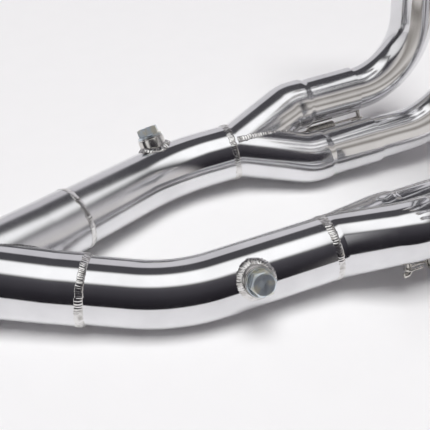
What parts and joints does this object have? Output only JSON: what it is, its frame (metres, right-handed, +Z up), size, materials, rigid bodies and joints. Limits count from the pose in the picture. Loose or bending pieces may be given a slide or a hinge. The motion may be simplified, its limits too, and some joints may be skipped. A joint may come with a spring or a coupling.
{
  "type": "motorcycle exhaust header",
  "caption": "Motorcycle exhaust header: polished pipes curve down from the cylinder head, join in collectors with sprung slip joints, and merge into an outlet pipe.",
  "frame": {"origin": "centre of the outlet's mouth", "axes": "+X forwards along the machine from the outlet to the cylinder head, +Y to the machine's left, +Z up; the header lies on the plane 34 mm below the origin"},
  "size_m": [0.6162, 0.308, 0.3163],
  "materials": {
    "polished_tube": "stainless steel polished to a mirror",
    "weld_bead": "rippled stainless weld metal, left bright",
    "turned_steel": "turned stainless steel with fine tool marks",
    "bright_wire": "drawn stainless wire",
    "seal_washer": "soft aluminium, as stamped",
    "zinc_plug": "turned steel, zinc plated with a pale yellow tint"
  },
  "bodies": {
    "root": {"outlet_pipe": "polished_tube", "rear_merge_right_branch": "polished_tube", "rear_merge_left_branch": "polished_tube", "right_secondary_pipe": "polished_tube", "left_secondary_pipe": "polished_tube", "right_collector_outer_branch": "polished_tube", "right_collector_inner_branch": "polished_tube", "left_collector_outer_branch": "polished_tube", "left_collector_inner_branch": "polished_tube", "outlet_weld": "weld_bead", "rear_merge_seam_weld": "weld_bead", "right_rear_weld": "weld_bead", "left_rear_weld": "weld_bead", "right_front_weld": "weld_bead", "left_front_weld": "weld_bead", "right_boss_weld": "weld_bead", "left_boss_weld": "weld_bead", "right_collector_seam_weld": "weld_bead", "left_collector_seam_weld": "weld_bead", "right_sensor_boss": "turned_steel", "left_sensor_boss": "turned_steel", "right_plug_washer": "seal_washer", "left_plug_washer": "seal_washer", "right_sensor_plug": "zinc_plug", "left_sensor_plug": "zinc_plug", "left_outer_primary_pipe": "polished_tube", "left_outer_port_collar": "turned_steel", "left_outer_port_weld": "weld_bead", "left_outer_collector_hook": "bright_wire", "left_outer_primary_hook": "bright_wire", "left_outer_spring": "bright_wire", "left_inner_primary_pipe": "polished_tube", "left_inner_port_collar": "turned_steel", "left_inner_port_weld": "weld_bead", "left_inner_collector_hook": "bright_wire", "left_inner_primary_hook": "bright_wire", "left_inner_spring": "bright_wire", "right_inner_primary_pipe": "polished_tube", "right_inner_port_collar": "turned_steel", "right_inner_port_weld": "weld_bead", "right_inner_collector_hook": "bright_wire", "right_inner_primary_hook": "bright_wire", "right_inner_spring": "bright_wire", "right_outer_primary_pipe": "polished_tube", "right_outer_port_collar": "turned_steel", "right_outer_port_weld": "weld_bead", "right_outer_collector_hook": "bright_wire", "right_outer_primary_hook": "bright_wire", "right_outer_spring": "bright_wire"}
  },
  "joints": []
}
